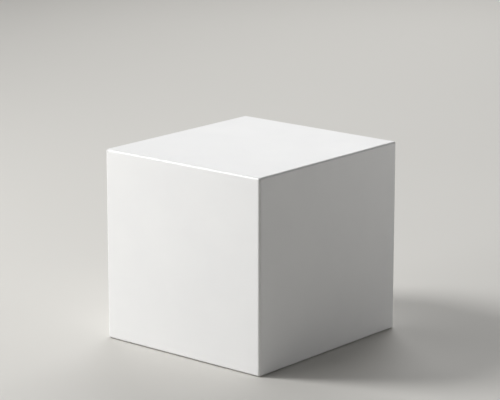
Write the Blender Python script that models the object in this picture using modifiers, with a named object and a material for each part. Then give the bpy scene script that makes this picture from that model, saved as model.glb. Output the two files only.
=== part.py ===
"""A display cube for museum and exhibition use.

Five mitred panels of white cast acrylic make a box that is open underneath. Square rod
stiffens the joints from inside, a gusset fills each base corner, and a bumper foot is
stuck under each gusset, so the box stands on a thin shadow gap.

Metres, +Z up, front towards -Y. The origin is on the floor, in the middle of the base.
"""

import math

import bmesh
import bpy
from mathutils import Vector

# The acrylic box, outside sizes
WIDTH = 0.205
DEPTH = 0.220
HEIGHT = 0.200
SHEET = 0.005

# Outer edges are scraped after bonding. The profile runs from 0.25, flat, to 0.5, round.
ARRIS = 0.002
ARRIS_PROFILE = 0.37
ARRIS_SEGMENTS = 3
ARRIS_SMOOTH_ANGLE = math.radians(40)

# The sawn lower edges only have their outer corner scraped
BASE_ARRIS = 0.0005

# Every bonded joint holds a film of cement this thick
BOND = 0.0003

# Square rod inside the joints
ROD = 0.006
ROD_ARRIS = 0.0005

# Gussets in the base corners
GUSSET_LEG = 0.036
GUSSET_TIP = 0.003
GUSSET_SHEET = 0.005

# Bumper feet
FOOT_RADIUS = 0.006
FOOT_HEIGHT = 0.001
FOOT_EDGE = 0.0003
FOOT_EDGE_POINTS = 5
FOOT_STEPS = 40
FOOT_POLE_MERGE = 0.00001

COLLECTION = "display_cube"

# Places that several pieces share
BASE_Z = FOOT_HEIGHT
TOP_Z = BASE_Z + HEIGHT
HALF = Vector((WIDTH / 2, DEPTH / 2, HEIGHT / 2))
CENTRE = Vector((0, 0, BASE_Z + HEIGHT / 2))
INSIDE_X = WIDTH / 2 - SHEET
INSIDE_Y = DEPTH / 2 - SHEET
INSIDE_Z = TOP_Z - SHEET
ROD_TOP_Z = INSIDE_Z - BOND
GUSSET_TOP_Z = BASE_Z + GUSSET_SHEET

DOWN = Vector((0, 0, -1))
PANELS = {
    "top_panel": Vector((0, 0, 1)),
    "front_panel": Vector((0, -1, 0)),
    "back_panel": Vector((0, 1, 0)),
    "left_panel": Vector((-1, 0, 0)),
    "right_panel": Vector((1, 0, 0)),
}
CORNERS = {
    "front_left": (-1, -1),
    "front_right": (1, -1),
    "back_left": (-1, 1),
    "back_right": (1, 1),
}


def clear_scene():
    for obj in list(bpy.data.objects):
        bpy.data.objects.remove(obj, do_unlink=True)


def new_collection(name):
    collection = bpy.data.collections.new(name)
    bpy.context.scene.collection.children.link(collection)
    return collection


def material(name, colour, roughness, ior):
    found = bpy.data.materials.get(name)
    if found:
        return found
    made = bpy.data.materials.new(name)
    made.use_nodes = True
    shader = made.node_tree.nodes["Principled BSDF"]
    shader.inputs["Base Color"].default_value = (*colour, 1.0)
    shader.inputs["Roughness"].default_value = roughness
    shader.inputs["Metallic"].default_value = 0.0
    shader.inputs["IOR"].default_value = ior
    return made


def satin_acrylic():
    return material("satin_white_acrylic", (0.82, 0.82, 0.82), 0.45, 1.49)


def gloss_acrylic():
    return material("gloss_white_acrylic", (0.80, 0.80, 0.79), 0.18, 1.49)


def bumper_rubber():
    return material("bumper_rubber", (0.025, 0.025, 0.024), 0.6, 1.52)


def place(obj, collection, surface):
    collection.objects.link(obj)
    obj.data.materials.append(surface)
    return obj


def mesh_object(name, bm):
    mesh = bpy.data.meshes.new(name)
    bm.to_mesh(mesh)
    bm.free()
    return bpy.data.objects.new(name, mesh)


def box_mesh(low, high):
    """A closed box between two opposite corners."""
    bm = bmesh.new()
    bmesh.ops.create_cube(bm, size=1.0)
    size = high - low
    bmesh.ops.scale(bm, vec=size, verts=bm.verts)
    bmesh.ops.translate(bm, vec=(low + high) / 2, verts=bm.verts)
    return bm


def outer_block():
    """The outside of the whole box as one solid, eased on all edges but the base's."""
    bm = box_mesh(CENTRE - HALF, CENTRE + HALF)
    base = [edge for edge in bm.edges if all(v.co.z < CENTRE.z for v in edge.verts)]
    eased = [edge for edge in bm.edges if edge not in base]
    bmesh.ops.bevel(
        bm,
        geom=eased,
        offset=ARRIS,
        segments=ARRIS_SEGMENTS,
        profile=ARRIS_PROFILE,
        affect="EDGES",
    )
    return bm


def cut_away(bm, point, normal):
    """Removes what lies beyond a plane, on its normal's side, and closes the cut."""
    everything = bm.verts[:] + bm.edges[:] + bm.faces[:]
    bmesh.ops.bisect_plane(
        bm,
        geom=everything,
        plane_co=point,
        plane_no=normal,
        clear_outer=True,
    )
    rim = [edge for edge in bm.edges if edge.is_boundary]
    bmesh.ops.contextual_create(bm, geom=rim)


def half_extent(direction):
    return direction * HALF.dot(Vector(map(abs, direction)))


def add_panel(name, outward, collection):
    """One sheet of the box: mitred at 45 degrees wherever it meets another panel."""
    bm = outer_block()
    face = CENTRE + half_extent(outward)
    cut_away(bm, face - outward * SHEET, -outward)
    for other in PANELS.values():
        if other.dot(outward) == 0:
            across = (other - outward).normalized()
            cut_away(bm, face + half_extent(other) - across * BOND / 2, across)
    if outward.dot(DOWN) == 0:
        scraped = (outward + DOWN).normalized()
        cut_away(bm, face + half_extent(DOWN) - DOWN * BASE_ARRIS, scraped)
    bmesh.ops.recalc_face_normals(bm, faces=bm.faces)
    panel = place(mesh_object(name, bm), collection, satin_acrylic())
    panel.data.shade_smooth()
    panel.data.set_sharp_from_angle(angle=ARRIS_SMOOTH_ANGLE)


def add_rod(name, low, high, collection):
    """A length of square rod, its long edges scraped."""
    obj = place(mesh_object(name, box_mesh(low, high)), collection, gloss_acrylic())
    scraped = obj.modifiers.new("scraped_edges", "BEVEL")
    scraped.width = ROD_ARRIS
    scraped.segments = 1


def add_corner_strip(corner, side_x, side_y, collection):
    """Upright rod in one corner, between the gusset and the rods under the top panel."""
    outer = Vector((side_x * (INSIDE_X - BOND), side_y * (INSIDE_Y - BOND), GUSSET_TOP_Z + BOND))
    inner = Vector((outer.x - side_x * ROD, outer.y - side_y * ROD, ROD_TOP_Z - ROD - BOND))
    low = Vector(map(min, outer, inner))
    high = Vector(map(max, outer, inner))
    add_rod(f"corner_strip_{corner}", low, high, collection)


def add_top_strips(collection):
    """Rods under the top panel: the side ones run full depth, the others fit between."""
    far_x = INSIDE_X - BOND
    far_y = INSIDE_Y - BOND
    between_x = far_x - ROD - BOND
    low_z = ROD_TOP_Z - ROD
    for name, side in (("left", -1), ("right", 1)):
        near, far = sorted((side * (far_x - ROD), side * far_x))
        low = Vector((near, -far_y, low_z))
        high = Vector((far, far_y, ROD_TOP_Z))
        add_rod(f"top_strip_{name}", low, high, collection)
    for name, side in (("front", -1), ("back", 1)):
        near, far = sorted((side * (far_y - ROD), side * far_y))
        low = Vector((-between_x, near, low_z))
        high = Vector((between_x, far, ROD_TOP_Z))
        add_rod(f"top_strip_{name}", low, high, collection)


def add_gusset(corner, side_x, side_y, collection):
    """A three-cornered plate with blunt tips, level with the panels' lower edges."""
    corner_x = INSIDE_X - BOND
    corner_y = INSIDE_Y - BOND
    outline = (
        (0, 0),
        (GUSSET_LEG, 0),
        (GUSSET_LEG, GUSSET_TIP),
        (GUSSET_TIP, GUSSET_LEG),
        (0, GUSSET_LEG),
    )
    name = f"base_gusset_{corner}"
    curve = bpy.data.curves.new(name, "CURVE")
    curve.dimensions = "2D"
    curve.fill_mode = "BOTH"
    curve.extrude = GUSSET_SHEET / 2
    spline = curve.splines.new("POLY")
    spline.points.add(len(outline) - 1)
    for point, (along_x, along_y) in zip(spline.points, outline):
        x = side_x * (corner_x - along_x)
        y = side_y * (corner_y - along_y)
        point.co = (x, y, 0, 1)
    spline.use_cyclic_u = True
    obj = place(bpy.data.objects.new(name, curve), collection, gloss_acrylic())
    obj.location.z = BASE_Z + GUSSET_SHEET / 2


def foot_inset():
    """How far the middle of a gusset's largest inscribed circle is from its two legs."""
    return GUSSET_LEG * (1 - 1 / math.sqrt(2))


def foot_profile():
    """Half of a foot's outline, from the middle of its top to the middle of its sole."""
    top = FOOT_HEIGHT - BOND
    points = [(0, top), (FOOT_RADIUS, top)]
    for step in range(FOOT_EDGE_POINTS + 1):
        angle = math.pi / 2 * step / FOOT_EDGE_POINTS
        x = FOOT_RADIUS - FOOT_EDGE * (1 - math.cos(angle))
        z = FOOT_EDGE * (1 - math.sin(angle))
        points.append((x, z))
    points.append((0, 0))
    return points


def add_foot(corner, side_x, side_y, collection):
    """A turned bumper foot, stuck under its gusset."""
    bm = bmesh.new()
    ring = [bm.verts.new((x, 0, z)) for x, z in foot_profile()]
    for upper, lower in zip(ring, ring[1:]):
        bm.edges.new((upper, lower))
    obj = place(mesh_object(f"bumper_foot_{corner}", bm), collection, bumper_rubber())
    inset = BOND + foot_inset()
    obj.location = (side_x * (INSIDE_X - inset), side_y * (INSIDE_Y - inset), 0)
    turned = obj.modifiers.new("turned", "SCREW")
    turned.steps = FOOT_STEPS
    turned.render_steps = FOOT_STEPS
    turned.use_merge_vertices = True
    turned.merge_threshold = FOOT_POLE_MERGE
    turned.use_smooth_shade = True


def main():
    clear_scene()
    cube = new_collection(COLLECTION)
    for name, outward in PANELS.items():
        add_panel(name, outward, cube)
    add_top_strips(cube)
    for corner, (side_x, side_y) in CORNERS.items():
        add_corner_strip(corner, side_x, side_y, cube)
        add_gusset(corner, side_x, side_y, cube)
        add_foot(corner, side_x, side_y, cube)


main()
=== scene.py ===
import math

import bmesh
import bpy
from mathutils import Euler, Matrix, Vector


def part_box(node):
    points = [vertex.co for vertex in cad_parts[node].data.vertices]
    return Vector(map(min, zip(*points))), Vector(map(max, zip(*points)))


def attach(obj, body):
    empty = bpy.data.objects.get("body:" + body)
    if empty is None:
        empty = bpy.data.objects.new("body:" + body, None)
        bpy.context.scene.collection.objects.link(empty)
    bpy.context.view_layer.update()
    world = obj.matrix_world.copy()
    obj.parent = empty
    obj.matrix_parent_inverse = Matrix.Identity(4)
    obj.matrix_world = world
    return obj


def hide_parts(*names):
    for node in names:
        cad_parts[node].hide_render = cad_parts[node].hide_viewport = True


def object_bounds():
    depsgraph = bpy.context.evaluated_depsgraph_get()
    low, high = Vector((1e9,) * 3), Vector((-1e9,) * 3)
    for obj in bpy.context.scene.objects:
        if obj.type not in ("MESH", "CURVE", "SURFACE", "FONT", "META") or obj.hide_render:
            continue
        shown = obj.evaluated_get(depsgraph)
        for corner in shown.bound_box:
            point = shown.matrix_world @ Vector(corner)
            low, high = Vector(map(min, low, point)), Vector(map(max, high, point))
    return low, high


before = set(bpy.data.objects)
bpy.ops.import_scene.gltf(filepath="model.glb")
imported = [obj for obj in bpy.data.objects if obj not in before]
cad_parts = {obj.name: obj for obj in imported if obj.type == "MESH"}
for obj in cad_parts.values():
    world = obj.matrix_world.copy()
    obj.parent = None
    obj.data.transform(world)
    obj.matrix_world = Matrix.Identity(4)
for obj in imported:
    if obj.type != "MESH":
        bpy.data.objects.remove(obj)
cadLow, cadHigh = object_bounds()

mm = 0.001
middle = (cadLow + cadHigh) / 2
print("frame loaded:", len(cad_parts), "nodes")


# Small helpers

def linearColour(hexCode):
    # sRGB hex to the linear values that shaders take
    channels = [int(hexCode[start:start + 2], 16) / 255 for start in (1, 3, 5)]
    return (*[c / 12.92 if c <= 0.04045 else ((c + 0.055) / 1.055) ** 2.4 for c in channels], 1.0)


def addNode(tree, kind, settings=None, inputs=None, output=0):
    # one node with its settings and links; gives back the output that is asked for
    node = tree.nodes.new(kind)
    for key, value in (settings or {}).items():
        setattr(node, key, value)
    for key, value in (inputs or {}).items():
        if isinstance(value, bpy.types.NodeSocket):
            tree.links.new(value, node.inputs[key])
        else:
            node.inputs[key].default_value = value
    return node.outputs[output] if node.outputs else None


def calc(tree, operation, *values):
    # a Math node on one, two or three values
    return addNode(tree, "ShaderNodeMath", {"operation": operation}, dict(enumerate(values)))


def split(tree, vector):
    # the three parts of a vector, as outputs named X, Y and Z
    return addNode(tree, "ShaderNodeSeparateXYZ", None, {0: vector}).node.outputs


def newShapeTree(name, sockets):
    # a Geometry Nodes tree with named inputs; sockets maps each name to its kind
    tree = bpy.data.node_groups.new(name, "GeometryNodeTree")
    tree.interface.new_socket("Geometry", in_out="OUTPUT", socket_type="NodeSocketGeometry")
    for label, kind in sockets.items():
        tree.interface.new_socket(label, in_out="INPUT", socket_type=kind)
    return tree, tree.nodes.new("NodeGroupInput").outputs


def grownMesh(name, tree, values, start=None):
    # runs a tree on an object, with its inputs set by identifier, and keeps only the plain mesh
    seed = bpy.data.objects.new(name + "Seed", start or bpy.data.meshes.new(name + "Seed"))
    bpy.context.scene.collection.objects.link(seed)
    grower = seed.modifiers.new("grow", "NODES")
    grower.node_group = tree
    for item in tree.interface.items_tree:
        if item.in_out == "INPUT" and item.name in values:
            grower[item.identifier] = values[item.name]
    seed.update_tag()
    view = bpy.context.evaluated_depsgraph_get()
    mesh = bpy.data.meshes.new_from_object(
        seed.evaluated_get(view), preserve_all_data_layers=True, depsgraph=view)
    bpy.data.objects.remove(seed)
    mesh.name = name
    if mesh.materials and mesh.materials[0] is None:
        mesh.materials.pop(index=0)
    return mesh


def addPiece(name, mesh, nodes=()):
    piece = bpy.data.objects.new(name, mesh)
    bpy.context.scene.collection.objects.link(piece)
    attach(piece, "root")
    if nodes:
        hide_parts(*nodes)
    return piece


# Materials

def newMaterial(name):
    # gives back the material, its empty tree, and object coordinates to lay patterns by
    material = bpy.data.materials.new(name)
    material.use_nodes = True
    tree = material.node_tree
    tree.nodes.clear()
    return material, tree, addNode(tree, "ShaderNodeTexCoord", output="Object")


def noise(tree, place, cell, detail=2.0, **more):
    # cell is the length of one blotch
    return addNode(tree, "ShaderNodeTexNoise", None,
                   {"Vector": place, "Scale": 1 / cell, "Detail": detail, **more})


def spread(tree, value, onto, fromRange=(0.0, 1.0)):
    # stretches one range of values onto another
    return addNode(tree, "ShaderNodeMapRange", None,
                   {"Value": value, "From Min": fromRange[0], "From Max": fromRange[1],
                    "To Min": onto[0], "To Max": onto[1]})


def blend(tree, amount, first, second):
    return addNode(tree, "ShaderNodeMix", {"data_type": "RGBA"},
                   {"Factor": amount, 6: linearColour(first), 7: linearColour(second)}, output=2)


def bump(tree, height, strength, depth, **under):
    return addNode(tree, "ShaderNodeBump", None,
                   {"Height": height, "Strength": strength, "Distance": depth, **under})


def addSurface(tree, colour, roughness, ior, **more):
    # the shader and its output; more holds the inputs that only some materials have
    shader = addNode(tree, "ShaderNodeBsdfPrincipled", None,
                     {"Base Color": colour, "Roughness": roughness, "IOR": ior, **more})
    addNode(tree, "ShaderNodeOutputMaterial", None, {"Surface": shader})


acrylic = {
    "ior": 1.49,
    "satin": "#F2F2F1",
    "satinCloud": "#EDEDED",
    "arris": "#F0F0EF",
    "gloss": "#EFEFEE",
    "rod": "#EAEAE7",
    "sawn": "#F4F4F3",
    "chalk": "#E6E6E4",
    "cement": "#DCDCDA",
    "grain": 0.5 * mm,      # the real satin grain is near 0.05 mm, too fine to show
    "ripple": 45 * mm,      # slow waves that casting leaves in the sheet
    "toothMarks": 0.8 * mm,
    # a little light passes under the surface and out again
    "glow": {"Subsurface Weight": 0.12, "Subsurface Radius": (1.0, 1.0, 1.0), "Subsurface Scale": 1.5 * mm},
}

foot = {
    "rubber": "#1B1B1C",
    "dust": "#5A5956",
    "rubberIor": 1.52,
    "tape": "#8F8F8B",
    "bubble": "#C4C4BF",
    "tapeIor": 1.47,
}


def satinCastAcrylic():
    # opaque white PMMA cast between one polished and one etched plate:
    # a soft sheen that spreads reflections, with nothing sharp in it
    material, tree, place = newMaterial("satin cast acrylic")
    clouds = noise(tree, place, acrylic["ripple"], Roughness=0.5)
    colour = blend(tree, clouds, acrylic["satin"], acrylic["satinCloud"])
    handled = noise(tree, place, 28 * mm, 4.0, Roughness=0.6)
    roughness = spread(tree, handled, (0.36, 0.46), (0.3, 0.7))
    grain = noise(tree, place, acrylic["grain"])
    waves = bump(tree, clouds, 0.25, 0.3 * mm)
    normal = bump(tree, grain, 0.12, 0.02 * mm, Normal=waves)
    addSurface(tree, colour, roughness, acrylic["ior"], Normal=normal, **acrylic["glow"])
    return material


def scrapedArris():
    # the outer corners after bonding, drawn down with a scraper blade and rubbed smooth:
    # slightly glossier than the sheet, with fine lines along the edge
    material, tree, place = newMaterial("scraped acrylic arris")
    lines = noise(tree, place, 0.9 * mm, 3.0)
    roughness = spread(tree, lines, (0.22, 0.36))
    normal = bump(tree, lines, 0.15, 0.02 * mm)
    addSurface(tree, linearColour(acrylic["arris"]), roughness, acrylic["ior"],
               Normal=normal, **acrylic["glow"])
    return material


def glossBackAcrylic():
    # the sheet's other side, cast against polished glass: a clear, slightly rippled gloss
    material, tree, place = newMaterial("gloss back of cast acrylic")
    ripple = noise(tree, place, 30 * mm, 1.0)
    smears = noise(tree, place, 12 * mm, 5.0, Distortion=0.8)
    roughness = spread(tree, smears, (0.06, 0.2), (0.35, 0.75))
    normal = bump(tree, ripple, 0.3, 0.4 * mm)
    addSurface(tree, linearColour(acrylic["gloss"]), roughness, acrylic["ior"], Normal=normal)
    return material


def sawnAcrylicEdge():
    # edges as they leave a fine panel saw: chalky, crossed by slanting tooth marks
    material, tree, place = newMaterial("sawn acrylic edge")
    # the diagonal gives marks on edges that run along X and along Y
    teeth = addNode(tree, "ShaderNodeTexWave", {"wave_type": "BANDS", "bands_direction": "DIAGONAL"},
                    {"Vector": place, "Scale": 0.314 / acrylic["toothMarks"],
                     "Distortion": 1.5, "Detail": 2.0}, output="Fac")
    chalk = noise(tree, place, 1.5 * mm, 4.0)
    colour = blend(tree, chalk, acrylic["sawn"], acrylic["chalk"])
    roughness = spread(tree, chalk, (0.5, 0.7))
    normal = bump(tree, teeth, 0.35, 0.05 * mm)
    addSurface(tree, colour, roughness, acrylic["ior"], Normal=normal)
    return material


def extrudedRodAcrylic():
    # white rod pushed through a die: glossy, with fine unevenness and a few scuffs
    material, tree, place = newMaterial("extruded acrylic rod")
    scuffs = noise(tree, place, 6 * mm, 6.0, Distortion=1.2)
    roughness = spread(tree, scuffs, (0.1, 0.34), (0.4, 0.7))
    fine = noise(tree, place, 1.2 * mm)
    normal = bump(tree, fine, 0.1, 0.03 * mm)
    addSurface(tree, linearColour(acrylic["rod"]), roughness, acrylic["ior"], Normal=normal)
    return material


def solventCement():
    # cured acrylic cement, tinted white: it shows as a faintly greyer, glassier line or bead
    material, tree, place = newMaterial("cured acrylic cement")
    bubbles = noise(tree, place, 2.5 * mm, 3.0)
    colour = blend(tree, bubbles, acrylic["cement"], acrylic["chalk"])
    roughness = spread(tree, bubbles, (0.12, 0.3))
    addSurface(tree, colour, roughness, acrylic["ior"])
    return material


def bumperRubber():
    # moulded black polyurethane: soft, nearly matte, dusty where it meets the floor
    material, tree, place = newMaterial("moulded bumper rubber")
    dust = noise(tree, place, 1.8 * mm, 5.0, Roughness=0.7)
    settled = spread(tree, dust, (0.0, 1.0), (0.5, 0.85))
    colour = blend(tree, settled, foot["rubber"], foot["dust"])
    roughness = spread(tree, dust, (0.45, 0.75))
    normal = bump(tree, dust, 0.2, 0.03 * mm)
    addSurface(tree, colour, roughness, foot["rubberIor"], Normal=normal)
    return material


def adhesiveTape():
    # the clear acrylic foam disc that a bumper is sold with: milky, with small trapped bubbles
    material, tree, place = newMaterial("acrylic foam tape")
    bubbles = noise(tree, place, 0.8 * mm, 3.0)
    colour = blend(tree, bubbles, foot["tape"], foot["bubble"])
    roughness = spread(tree, bubbles, (0.3, 0.5))
    addSurface(tree, colour, roughness, foot["tapeIor"])
    return material


satin = satinCastAcrylic()
arrisFinish = scrapedArris()
glossBack = glossBackAcrylic()
sawnEdge = sawnAcrylicEdge()
rodFinish = extrudedRodAcrylic()
cement = solventCement()
rubber = bumperRubber()
adhesive = adhesiveTape()
print("materials made")


# Camera, studio and floor

cameraView = {
    "lens": 163.6,          # mm, on a 36 mm sensor
    "azimuth": 40.23,       # degrees round from the front face
    "lookDown": 13.79,      # degrees below level
    "distance": 2.344,
    "rise": 42.4 * mm,      # it aims this far above the middle of the box
    "slide": -2.1 * mm,
}


def addCamera():
    azimuth = math.radians(cameraView["azimuth"])
    down = math.radians(cameraView["lookDown"])
    rightward = Vector((math.cos(azimuth), math.sin(azimuth), 0))
    level = math.cos(down)
    forward = Vector((-math.sin(azimuth) * level, math.cos(azimuth) * level, -math.sin(down)))
    aim = middle + rightward * cameraView["slide"] + Vector((0, 0, cameraView["rise"]))
    lens = bpy.data.cameras.new("camera")
    lens.lens = cameraView["lens"]
    lens.sensor_width = 36.0
    lens.clip_end = 100.0
    camera = bpy.data.objects.new("camera", lens)
    camera.location = aim - forward * cameraView["distance"]
    camera.rotation_euler = forward.to_track_quat("-Z", "Y").to_euler()
    bpy.context.scene.collection.objects.link(camera)
    bpy.context.scene.camera = camera


studio = {
    "floorColour": "#D5D3CE",
    "floorSize": 12.0,
    "floorMottle": 2 / 3,   # length of one blotch
    "floorIor": 1.5,
    "surroundColour": "#FFFFFF",
    "surroundStrength": 0.04,
    "lights": (
        # name, direction towards the light (azimuth, elevation), distance, size, watts
        ("keyLamp", -56.0, 43.0, 2.2, 0.7, 36.0),
        ("frontLamp", -25.0, 10.0, 2.0, 1.2, 15.0),
        ("backLamp", -150.0, 35.0, 2.8, 2.2, 33.0),
        ("sideLamp", 140.0, 8.0, 1.2, 0.9, 3.5),
    ),
}


def addStudio():
    world = bpy.data.worlds.new("studio surround")
    world.use_nodes = True
    background = world.node_tree.nodes["Background"]
    background.inputs["Color"].default_value = linearColour(studio["surroundColour"])
    background.inputs["Strength"].default_value = studio["surroundStrength"]
    bpy.context.scene.world = world
    # whites keep their true value, with no film curve
    bpy.context.scene.view_settings.view_transform = "Standard"
    for name, azimuth, elevation, distance, size, watts in studio["lights"]:
        turn = math.radians(azimuth)
        lift = math.radians(elevation)
        towards = Vector((math.sin(turn) * math.cos(lift), -math.cos(turn) * math.cos(lift), math.sin(lift)))
        lamp = bpy.data.lights.new(name, "AREA")
        lamp.shape = "DISK"
        lamp.size = size
        lamp.energy = watts
        light = bpy.data.objects.new(name, lamp)
        light.location = middle + towards * distance
        light.rotation_euler = (-towards).to_track_quat("-Z", "Y").to_euler()
        bpy.context.scene.collection.objects.link(light)


def addFloor():
    material, tree, place = newMaterial("pale studio floor")
    mottle = noise(tree, place, studio["floorMottle"], 4.0)
    roughness = spread(tree, mottle, (0.6, 0.75))
    addSurface(tree, linearColour(studio["floorColour"]), roughness, studio["floorIor"])
    bm = bmesh.new()
    bmesh.ops.create_grid(bm, x_segments=1, y_segments=1, size=studio["floorSize"] / 2)
    mesh = bpy.data.meshes.new("floor")
    bm.to_mesh(mesh)
    bm.free()
    mesh.materials.append(material)
    floor = bpy.data.objects.new("floor", mesh)
    bpy.context.scene.collection.objects.link(floor)


addCamera()
addStudio()
addFloor()
print("camera, lights and floor placed")


# Panels: one tree makes every mitred sheet, lying flat with its outer face up

topLow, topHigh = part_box("top_panel")
frontLow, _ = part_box("front_panel")
sheet = topHigh.z - topLow.z
baseZ = frontLow.z
boxHalf = Vector((cadHigh.x - cadLow.x, cadHigh.y - cadLow.y, cadHigh.z - baseZ)) / 2
boxMiddle = Vector((middle.x, middle.y, baseZ + boxHalf.z))

panelMake = {
    "arris": 2.0 * mm,      # how far the scraped outer corners reach in
    "shoulder": 1.4,        # 1 would be a flat scraped face, 2 a full round
    "scrape": 0.5 * mm,     # bevel on the sawn lower edge
    "film": 0.3 * mm,       # cement between two mitres
    "support": 1.0 * mm,    # flat row beside the rounding, so that wide faces shade flat
    "arcRows": 6,
    # how far up a face looks before the sheet is turned tells what it is
    "flatAbove": 0.9999,    # the satin face, with the scraped corners below this
    "edgeBelow": 0.3,       # mitres and sawn edges
    "backBelow": -0.9,      # the sheet's back
}


def faceReach(outward):
    # from the box's middle to its face in one of the six directions
    return boxHalf.dot(Vector(map(abs, outward)))


def panelTree():
    tree, given = newShapeTree("mitred panel", {
        "Half length": "NodeSocketFloat",
        "Half breadth": "NodeSocketFloat",
        "Sheet": "NodeSocketFloat",
        "Arris": "NodeSocketFloat",
        "Shoulder": "NodeSocketFloat",
        "Scrape": "NodeSocketFloat",
        "Film": "NodeSocketFloat",
        "Support": "NodeSocketFloat",
        "Arc rows": "NodeSocketInt",
        "Sawn base": "NodeSocketFloat",
        "Turn": "NodeSocketRotation",
        "Place": "NodeSocketVector",
        "Satin": "NodeSocketMaterial",
        "Arris finish": "NodeSocketMaterial",
        "Edge finish": "NodeSocketMaterial",
        "Back finish": "NodeSocketMaterial",
    })
    # a block of unit size: one wide cell in the middle and rows for the rounding at each side
    cells = calc(tree, "MULTIPLY_ADD", given["Arc rows"], 2.0, 3.0)
    corners = calc(tree, "ADD", cells, 1.0)
    block = addNode(tree, "GeometryNodeMeshCube", None,
                    {"Size": (2.0, 2.0, 2.0), "Vertices X": corners, "Vertices Y": corners, "Vertices Z": 2})
    across = split(tree, addNode(tree, "GeometryNodeInputPosition"))
    isOuter = calc(tree, "GREATER_THAN", across["Z"], 0.0)
    isLow = calc(tree, "LESS_THAN", across["Y"], 0.0)
    sawn = calc(tree, "MULTIPLY", isLow, given["Sawn base"])
    # the rounding stops where the film begins
    inverse = calc(tree, "DIVIDE", 1.0, given["Shoulder"])
    diagonal = calc(tree, "POWER", 2.0, inverse)
    narrow = calc(tree, "DIVIDE", given["Film"], given["Arris"])
    narrow = calc(tree, "MULTIPLY", narrow, diagonal)
    narrow = calc(tree, "MULTIPLY", narrow, math.sqrt(0.125))
    narrow = calc(tree, "ARCSINE", narrow)
    widest = calc(tree, "SUBTRACT", math.pi / 4, narrow)
    mitreBack = calc(tree, "MULTIPLY_ADD", given["Film"], math.sqrt(0.5), given["Sheet"])
    flat = {}
    lean = {}
    inner = {}
    bevel = {}
    side = {}
    for axis, half, square in (("X", "Half length", 0.0), ("Y", "Half breadth", sawn)):
        mitred = calc(tree, "SUBTRACT", 1.0, square)
        side[axis] = calc(tree, "SIGN", across[axis])
        reach = calc(tree, "ABSOLUTE", across[axis])
        # row counts 0 at the middle cell's edge, 1 where the rounding starts, and on to the rim
        row = calc(tree, "MULTIPLY_ADD", reach, cells, -1.0)
        row = calc(tree, "MULTIPLY", row, 0.5)
        start = calc(tree, "MINIMUM", row, 1.0)
        turned = calc(tree, "SUBTRACT", row, 1.0)
        turned = addNode(tree, "ShaderNodeMath", {"operation": "DIVIDE", "use_clamp": True},
                         {0: turned, 1: given["Arc rows"]})
        angle = calc(tree, "MULTIPLY", turned, widest)
        angle = calc(tree, "TANGENT", angle)
        lean[axis] = calc(tree, "MULTIPLY", angle, mitred)
        # the flat part ends an arris, or on a sawn edge a scrape, short of the rim
        ease = addNode(tree, "ShaderNodeMix", {"data_type": "FLOAT"},
                       {0: square, 2: given["Arris"], 3: given["Scrape"]})
        step = calc(tree, "SUBTRACT", start, 1.0)
        step = calc(tree, "MULTIPLY_ADD", step, given["Support"], given[half])
        flat[axis] = calc(tree, "SUBTRACT", step, ease)
        bevel[axis] = calc(tree, "MULTIPLY", turned, given["Scrape"])
        bevel[axis] = calc(tree, "MULTIPLY", bevel[axis], square)
        # the inner face ends a sheet's thickness in, because of the mitre
        back = calc(tree, "MULTIPLY", mitreBack, mitred)
        rim = calc(tree, "SUBTRACT", given[half], back)
        ringCount = calc(tree, "ADD", given["Arc rows"], 1.0)
        short = calc(tree, "DIVIDE", row, ringCount)
        short = calc(tree, "SUBTRACT", short, 1.0)
        inner[axis] = calc(tree, "MULTIPLY_ADD", short, given["Support"], rim)
    # easing: a point leans out from the arris's centre line, and the shoulder power sets its distance
    leanX = calc(tree, "POWER", lean["X"], given["Shoulder"])
    leanY = calc(tree, "POWER", lean["Y"], given["Shoulder"])
    size = calc(tree, "ADD", leanX, leanY)
    size = calc(tree, "ADD", size, 1.0)
    size = calc(tree, "POWER", size, inverse)
    size = calc(tree, "DIVIDE", given["Arris"], size)
    ray = addNode(tree, "ShaderNodeCombineXYZ", None, {"X": lean["X"], "Y": lean["Y"], "Z": 1.0})
    ray = addNode(tree, "ShaderNodeVectorMath", {"operation": "SCALE"}, {0: ray, "Scale": size})
    ray = split(tree, ray)
    outerPlace = {}
    innerPlace = {}
    for axis in ("X", "Y"):
        out = calc(tree, "ADD", flat[axis], ray[axis])
        out = calc(tree, "ADD", out, bevel[axis])
        outerPlace[axis] = calc(tree, "MULTIPLY", out, side[axis])
        innerPlace[axis] = calc(tree, "MULTIPLY", inner[axis], side[axis])
    height = calc(tree, "SUBTRACT", ray["Z"], given["Arris"])
    outerPlace["Z"] = calc(tree, "SUBTRACT", height, bevel["Y"])
    innerPlace["Z"] = calc(tree, "MULTIPLY", given["Sheet"], -1.0)
    outerPoint = addNode(tree, "ShaderNodeCombineXYZ", None, outerPlace)
    innerPoint = addNode(tree, "ShaderNodeCombineXYZ", None, innerPlace)
    point = addNode(tree, "ShaderNodeMix", {"data_type": "VECTOR"},
                    {0: isOuter, 4: innerPoint, 5: outerPoint}, output=1)
    shaped = addNode(tree, "GeometryNodeSetPosition", None, {"Geometry": block, "Position": point})
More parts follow.
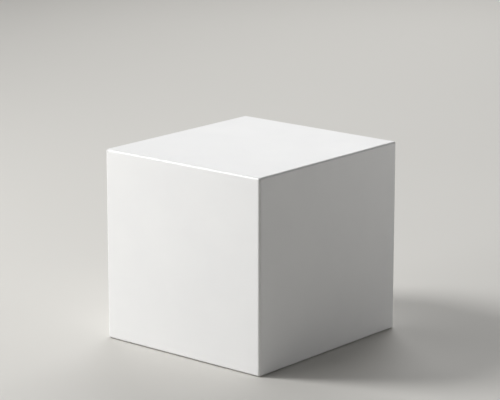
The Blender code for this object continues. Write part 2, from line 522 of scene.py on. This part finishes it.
    # finishes by the way that a face looked before it was turned: out, eased, edge or back
    whole = addNode(tree, "GeometryNodeTransform", None,
                    {"Geometry": shaped, "Translation": given["Place"], "Rotation": given["Turn"]})
    unturn = addNode(tree, "FunctionNodeInvertRotation", None, {"Rotation": given["Turn"]})
    facing = addNode(tree, "FunctionNodeRotateVector", None,
                     {"Vector": addNode(tree, "GeometryNodeInputNormal"), "Rotation": unturn})
    facing = split(tree, facing)["Z"]
    eased, edge, back, smooth = [
        addNode(tree, "FunctionNodeCompare", {"operation": operation}, {0: facing, 1: panelMake[limit]})
        for operation, limit in (("LESS_THAN", "flatAbove"), ("LESS_THAN", "edgeBelow"),
                                 ("LESS_THAN", "backBelow"), ("GREATER_THAN", "edgeBelow"))]
    whole = addNode(tree, "GeometryNodeSetShadeSmooth", None,
                    {"Geometry": whole, "Selection": smooth, "Shade Smooth": True})
    whole = addNode(tree, "GeometryNodeRealizeInstances", None, {0: whole})
    whole = addNode(tree, "GeometryNodeSetMaterial", None, {"Geometry": whole, "Material": given["Satin"]})
    for chosen, finish in ((eased, "Arris finish"), (edge, "Edge finish"), (back, "Back finish")):
        whole = addNode(tree, "GeometryNodeSetMaterial", None,
                        {"Geometry": whole, "Selection": chosen, "Material": given[finish]})
    addNode(tree, "NodeGroupOutput", None, {"Geometry": whole})
    return tree


# name, CAD node, outward direction
panelList = (
    ("topPanel", "top_panel", Vector((0, 0, 1))),
    ("frontPanel", "front_panel", Vector((0, -1, 0))),
    ("backPanel", "back_panel", Vector((0, 1, 0))),
    ("leftPanel", "left_panel", Vector((-1, 0, 0))),
    ("rightPanel", "right_panel", Vector((1, 0, 0))),
)


def addPanels():
    tree = panelTree()
    for name, node, outward in panelList:
        upright = outward.z == 0
        if upright:
            # local Z turns to face outwards and local Y stays up
            spin = math.atan2(outward.x, -outward.y)
            turn = Euler((math.pi / 2, 0, spin))
        else:
            turn = Euler((0, 0, 0))
        mesh = grownMesh(name, tree, {
            "Half length": boxHalf.x if outward.x == 0 else boxHalf.y,
            "Half breadth": boxHalf.z if upright else boxHalf.y,
            "Sheet": sheet,
            "Arris": panelMake["arris"],
            "Shoulder": panelMake["shoulder"],
            "Scrape": panelMake["scrape"],
            "Film": panelMake["film"],
            "Support": panelMake["support"],
            "Arc rows": panelMake["arcRows"],
            "Sawn base": 1.0 if upright else 0.0,
            "Turn": turn,
            "Place": boxMiddle + outward * faceReach(outward),
            "Satin": satin,
            "Arris finish": arrisFinish,
            "Edge finish": sawnEdge,
            "Back finish": glossBack,
        })
        addPiece(name, mesh, [node])


addPanels()
print("panels grown")


# Cement: a hairline in each mitre, thin films behind the rods and plates, and a bead along each joint

innerX = cadHigh.x - sheet
innerY = cadHigh.y - sheet
innerZ = cadHigh.z - sheet

cementMake = {
    "fill": 0.92,           # share of a gap that the cement fills
    "recess": 0.03 * mm,    # hairlines lie this far below the scraped corners
    "bead": 0.9 * mm,       # reach of a bead along each of its two faces
    "beadSides": 9,
    "firstCorner": 0.999,   # only one corner of the round unit bar lies further along X than this
}


def mitreOutline(atBase):
    # one end of a hairline, as (distance in from both outer faces, distance along from the end)
    arris = panelMake["arris"]
    power = 1 / panelMake["shoulder"]
    edge = arris * (1 - 0.5 ** power) + cementMake["recess"]
    corner = arris * (1 - (1 / 3) ** power) + cementMake["recess"]
    if atBase:
        return (sheet, 0.0), (edge + panelMake["scrape"], 0.0), (edge, panelMake["scrape"])
    return (sheet, sheet), (corner, corner), (edge, arris)


def addMitreFilms():
    bm = bmesh.new()
    outwards = [outward for _, _, outward in panelList]
    for index, first in enumerate(outwards):
        for second in outwards[index + 1:]:
            if first.dot(second) != 0:
                continue
            along = first.cross(second)
            points = []
            for way in (-1, 1):
                end = along * way
                outline = mitreOutline(end.z < 0)
                # the second end is walked backwards, so that the outline closes
                for inward, back in (outline if way < 0 else reversed(outline)):
                    point = boxMiddle + end * (faceReach(end) - back)
                    for outward in (first, second):
                        point = point + outward * (faceReach(outward) - inward)
                    points.append(bm.verts.new(point))
            bm.faces.new(points)
    bmesh.ops.recalc_face_normals(bm, faces=bm.faces)
    mesh = bpy.data.meshes.new("mitreFilms")
    bm.to_mesh(mesh)
    bm.free()
    mesh.materials.append(cement)
    piece = addPiece("mitreFilms", mesh)
    thick = piece.modifiers.new("film thickness", "SOLIDIFY")
    thick.thickness = panelMake["film"] * cementMake["fill"]
    thick.offset = 0.0


def cementTree():
    # copies one unit shape to every start point, turned and sized by the point's own attributes
    tree, given = newShapeTree("cement along joints", {
        "Geometry": "NodeSocketGeometry",
        "Bead": "NodeSocketBool",
        "Sides": "NodeSocketInt",
        "Cement": "NodeSocketMaterial",
    })
    # a bead's section: its corner at nought, and a hollow face from one wall to the other
    bar = addNode(tree, "GeometryNodeMeshCylinder", None,
                  {"Vertices": given["Sides"], "Radius": 1.0, "Depth": 1.0})
    spot = split(tree, addNode(tree, "GeometryNodeInputPosition"))
    bearing = calc(tree, "ARCTAN2", spot["Y"], spot["X"])
    bearing = calc(tree, "WRAP", bearing, 2 * math.pi, 0.0)
    share = calc(tree, "DIVIDE", 2 * math.pi, given["Sides"])
    last = calc(tree, "SUBTRACT", 2 * math.pi, share)
    swing = addNode(tree, "ShaderNodeMapRange", None,
                    {"Value": bearing, "From Min": share, "From Max": last,
                     "To Min": 1.5 * math.pi, "To Max": math.pi})
    section = {}
    for axis, operation in (("X", "COSINE"), ("Y", "SINE")):
        hollow = calc(tree, operation, swing)
        hollow = calc(tree, "ADD", hollow, 1.0)
        isRim = calc(tree, "LESS_THAN", spot["X"], cementMake["firstCorner"])
        section[axis] = calc(tree, "MULTIPLY", hollow, isRim)
    section = addNode(tree, "ShaderNodeCombineXYZ", None, {**section, "Z": spot["Z"]})
    bar = addNode(tree, "GeometryNodeSetPosition", None, {"Geometry": bar, "Position": section})
    slab = addNode(tree, "GeometryNodeMeshCube", None, {"Size": (1.0, 1.0, 1.0)})
    shape = addNode(tree, "GeometryNodeSwitch", {"input_type": "GEOMETRY"},
                    {"Switch": given["Bead"], "False": slab, "True": bar})
    turn = addNode(tree, "GeometryNodeInputNamedAttribute", {"data_type": "QUATERNION"}, {"Name": "turn"})
    size = addNode(tree, "GeometryNodeInputNamedAttribute", {"data_type": "FLOAT_VECTOR"}, {"Name": "size"})
    copies = addNode(tree, "GeometryNodeInstanceOnPoints", None,
                     {"Points": given["Geometry"], "Instance": shape, "Rotation": turn, "Scale": size})
    whole = addNode(tree, "GeometryNodeRealizeInstances", None, {0: copies})
    whole = addNode(tree, "GeometryNodeSetMaterial", None, {"Geometry": whole, "Material": given["Cement"]})
    addNode(tree, "NodeGroupOutput", None, {"Geometry": whole})
    return tree


def pointMesh(name, entries):
    # start points for the cement tree: place, turn and size of each copy
    mesh = bpy.data.meshes.new(name)
    mesh.from_pydata([place for place, _, _ in entries], [], [])
    mesh.attributes.new("turn", "QUATERNION", "POINT")
    mesh.attributes.new("size", "FLOAT_VECTOR", "POINT")
    for index, (_, turn, size) in enumerate(entries):
        mesh.attributes["turn"].data[index].value = turn
        mesh.attributes["size"].data[index].vector = size
    return mesh


def beadEntry(start, end, firstWall, secondWall):
    # a bead in the corner between two walls, whose in-plane directions are given
    frameOf = Matrix((firstWall, secondWall, firstWall.cross(secondWall))).transposed()
    reach = cementMake["bead"]
    return (start + end) / 2, frameOf.to_quaternion(), (reach, reach, (end - start).length)


def filmEntry(low, high):
    # a slab that fills the gap between two opposite corners, less a little along the thin way
    size = high - low
    thin = min(range(3), key=lambda axis: size[axis])
    size[thin] *= cementMake["fill"]
    return (low + high) / 2, Matrix.Identity(3).to_quaternion(), size


def sorted3(first, second):
    return Vector(map(min, first, second)), Vector(map(max, first, second))


def jointEntries():
    beads = []
    films = []
    up = Vector((0, 0, 1))

    def film(first, second):
        films.append(filmEntry(*sorted3(first, second)))

    def bead(start, end, firstWall, secondWall):
        beads.append(beadEntry(Vector(start), Vector(end), firstWall, secondWall))

    for sideY, endName in ((-1, "front"), (1, "back")):
        for sideX, sideName in ((-1, "left"), (1, "right")):
            toMiddleX = Vector((-sideX, 0, 0))
            toMiddleY = Vector((0, -sideY, 0))
            wallX = sideX * innerX
            wallY = sideY * innerY
            rodLow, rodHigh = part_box(f"corner_strip_{endName}_{sideName}")
            plateLow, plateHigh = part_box(f"base_gusset_{endName}_{sideName}")
            stripLow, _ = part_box(f"top_strip_{sideName}")
            nearX, farX = (rodHigh.x, rodLow.x) if sideX < 0 else (rodLow.x, rodHigh.x)
            nearY, farY = (rodHigh.y, rodLow.y) if sideY < 0 else (rodLow.y, rodHigh.y)
            tipX = plateHigh.x if sideX < 0 else plateLow.x
            tipY = plateHigh.y if sideY < 0 else plateLow.y
            # the upright rod: behind it, at its two ends and along its two open edges
            film((farX, rodLow.y, rodLow.z), (wallX, rodHigh.y, rodHigh.z))
            film((rodLow.x, farY, rodLow.z), (rodHigh.x, wallY, rodHigh.z))
            film((rodLow.x, rodLow.y, plateHigh.z), (rodHigh.x, rodHigh.y, rodLow.z))
            film((rodLow.x, rodLow.y, rodHigh.z), (rodHigh.x, rodHigh.y, stripLow.z))
            bead((wallX, nearY, plateHigh.z), (wallX, nearY, stripLow.z), toMiddleX, toMiddleY)
            bead((nearX, wallY, plateHigh.z), (nearX, wallY, stripLow.z), toMiddleY, toMiddleX)
            # the gusset plate: along its two legs
            film((farX, plateLow.y, plateLow.z), (wallX, plateHigh.y, plateHigh.z))
            film((plateLow.x, farY, plateLow.z), (plateHigh.x, wallY, plateHigh.z))
            bead((wallX, tipY, plateHigh.z), (wallX, nearY, plateHigh.z), toMiddleX, up)
            bead((tipX, wallY, plateHigh.z), (nearX, wallY, plateHigh.z), toMiddleY, up)
    rodLow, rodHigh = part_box("corner_strip_back_right")
    for name, inward in (("left", Vector((1, 0, 0))), ("right", Vector((-1, 0, 0))),
                         ("front", Vector((0, 1, 0))), ("back", Vector((0, -1, 0)))):
        low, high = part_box(f"top_strip_{name}")
        along = Vector((abs(inward.y), abs(inward.x), 0))
        wall = -inward * (innerX if inward.x else innerY)
        far = -inward * abs((high if inward.x + inward.y < 0 else low).dot(inward))
        near = far + inward * (high - low).dot(Vector(map(abs, inward)))
        run = along * abs((rodLow.y if inward.x else rodLow.x))
        full = along * high.dot(along)
        # the rod under the top panel: behind it, over it and along its two open edges
        film(wall - full + up * low.z, far + full + up * high.z)
        film(near - full + up * high.z, far + full + up * innerZ)
        bead(wall - run + up * low.z, wall + run + up * low.z, inward, -up)
        bead(near - run + up * innerZ, near + run + up * innerZ, inward, -up)
    return beads, films


def addCement():
    tree = cementTree()
    beads, films = jointEntries()
    for name, entries, isBead in (("cementBeads", beads, True), ("cementFilms", films, False)):
        mesh = grownMesh(name, tree, {
            "Bead": isBead,
            "Sides": cementMake["beadSides"],
            "Cement": cement,
        }, pointMesh(name + "Points", entries))
        addPiece(name, mesh)
        print(name, len(entries))


addMitreFilms()
addCement()


# Gussets in the base corners, cut from sheet with a fine saw

gussetMake = {
    "tip": 3.0 * mm,
    "scrape": 0.35 * mm,
    "scrapeRows": 2,
}


def addGusset(name, node, sideX, sideY):
    low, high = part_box(node)
    leg = high.x - low.x
    tip = gussetMake["tip"]
    cornerX = high.x if sideX > 0 else low.x
    cornerY = high.y if sideY > 0 else low.y
    bm = bmesh.new()
    outline = ((0, 0), (leg, 0), (leg, tip), (tip, leg), (0, leg))
    rings = []
    for z in (low.z, high.z):
        corners = [(cornerX - sideX * x, cornerY - sideY * y, z) for x, y in outline]
        rings.append([bm.verts.new(corner) for corner in corners])
        bm.faces.new(rings[-1])
    lower, upper = rings
    for index in range(len(outline)):
        bm.faces.new((lower[index - 1], lower[index], upper[index], upper[index - 1]))
    bmesh.ops.recalc_face_normals(bm, faces=bm.faces)
    for face in bm.faces:
        face.material_index = 0 if abs(face.normal.z) > 0.5 else 1
    mesh = bpy.data.meshes.new(name)
    bm.to_mesh(mesh)
    bm.free()
    mesh.materials.append(glossBack)
    mesh.materials.append(sawnEdge)
    piece = addPiece(name, mesh, [node])
    scraped = piece.modifiers.new("scraped edges", "BEVEL")
    scraped.width = gussetMake["scrape"]
    scraped.segments = gussetMake["scrapeRows"]
    scraped.material = 1


for sideY, endName in ((-1, "front"), (1, "back")):
    for sideX, sideName in ((-1, "left"), (1, "right")):
        node = f"base_gusset_{endName}_{sideName}"
        addGusset(f"{endName}{sideName.capitalize()}Gusset", node, sideX, sideY)
print("gussets cut")


# Rods keep their frame shape and take their own finish

for name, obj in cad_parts.items():
    if name.startswith(("top_strip", "corner_strip")):
        for holder in obj.material_slots:
            holder.material = rodFinish


# Bumper feet and the adhesive discs that hold them, turned by one tree and copied to four points

footMake = {
    "around": 64,
    "rings": 16,
    "rows": 6,
    "edge": 0.3 * mm,       # rounding of the lower rim
    "tapeEdge": 0.05 * mm,
    "tapeInset": 0.15 * mm,
    "sharpAngle": math.radians(40),
}


def discTree():
    tree, given = newShapeTree("turned disc at points", {
        "Geometry": "NodeSocketGeometry",
        "Radius": "NodeSocketFloat",
        "Height": "NodeSocketFloat",
        "Edge": "NodeSocketFloat",
        "Around": "NodeSocketInt",
        "Rings": "NodeSocketInt",
        "Rows": "NodeSocketInt",
        "Finish": "NodeSocketMaterial",
    })
    disc = addNode(tree, "GeometryNodeMeshCylinder", None,
                   {"Vertices": given["Around"], "Side Segments": given["Rows"],
                    "Fill Segments": given["Rings"], "Radius": given["Radius"], "Depth": given["Height"]})
    spot = split(tree, addNode(tree, "GeometryNodeInputPosition"))
    flat = addNode(tree, "ShaderNodeCombineXYZ", None, {"X": spot["X"], "Y": spot["Y"]})
    reach = addNode(tree, "ShaderNodeVectorMath", {"operation": "LENGTH"}, {0: flat}, output=1)
    # near the lower rim a point is drawn in until it is an edge's radius from the rim's centre line
    coreRadius = calc(tree, "SUBTRACT", given["Radius"], given["Edge"])
    coreHeight = calc(tree, "MULTIPLY_ADD", given["Height"], -0.5, given["Edge"])
    outX = calc(tree, "SUBTRACT", reach, coreRadius)
    outX = calc(tree, "MAXIMUM", outX, 0.0)
    outZ = calc(tree, "SUBTRACT", spot["Z"], coreHeight)
    outZ = calc(tree, "MINIMUM", outZ, 0.0)
    out = addNode(tree, "ShaderNodeCombineXYZ", None, {"X": outX, "Z": outZ})
    length = addNode(tree, "ShaderNodeVectorMath", {"operation": "LENGTH"}, {0: out}, output=1)
    length = calc(tree, "MAXIMUM", length, given["Edge"])
    draw = calc(tree, "DIVIDE", given["Edge"], length)
    draw = calc(tree, "SUBTRACT", draw, 1.0)
    shiftX = calc(tree, "MULTIPLY", outX, draw)
    shiftZ = calc(tree, "MULTIPLY", outZ, draw)
    outward = addNode(tree, "ShaderNodeVectorMath", {"operation": "NORMALIZE"}, {0: flat})
    outward = addNode(tree, "ShaderNodeVectorMath", {"operation": "SCALE"}, {0: outward, "Scale": shiftX})
    rise = addNode(tree, "ShaderNodeCombineXYZ", None, {"Z": shiftZ})
    shift = addNode(tree, "ShaderNodeVectorMath", {"operation": "ADD"}, {0: outward, 1: rise})
    disc = addNode(tree, "GeometryNodeSetPosition", None, {"Geometry": disc, "Offset": shift})
    disc = addNode(tree, "GeometryNodeSetShadeSmooth", None, {"Geometry": disc, "Shade Smooth": True})
    copies = addNode(tree, "GeometryNodeInstanceOnPoints", None,
                     {"Points": given["Geometry"], "Instance": disc})
    whole = addNode(tree, "GeometryNodeRealizeInstances", None, {0: copies})
    whole = addNode(tree, "GeometryNodeSetMaterial", None, {"Geometry": whole, "Material": given["Finish"]})
    addNode(tree, "NodeGroupOutput", None, {"Geometry": whole})
    return tree


def addFeet():
    tree = discTree()
    nodes = [f"bumper_foot_{end}_{side}" for end in ("front", "back") for side in ("left", "right")]
    boxes = [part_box(node) for node in nodes]
    radius = (boxes[0][1].x - boxes[0][0].x) / 2
    footTop = boxes[0][1].z
    tapeHeight = baseZ - footTop
    for name, lift, height, shape, finish, replaced in (
            ("bumperFeet", 0.0, footTop, (radius, footMake["edge"]), rubber, nodes),
            ("adhesiveDiscs", footTop, tapeHeight, (radius - footMake["tapeInset"], footMake["tapeEdge"]),
             adhesive, ())):
        starts = bpy.data.meshes.new(name + "Points")
        starts.from_pydata([(*((low + high) / 2).xy, lift + height / 2) for low, high in boxes], [], [])
        mesh = grownMesh(name, tree, {
            "Radius": shape[0],
            "Height": height,
            "Edge": shape[1],
            "Around": footMake["around"],
            "Rings": footMake["rings"],
            "Rows": footMake["rows"],
            "Finish": finish,
        }, starts)
        mesh.set_sharp_from_angle(angle=footMake["sharpAngle"])
        addPiece(name, mesh, replaced)


addFeet()
print("feet stuck on")
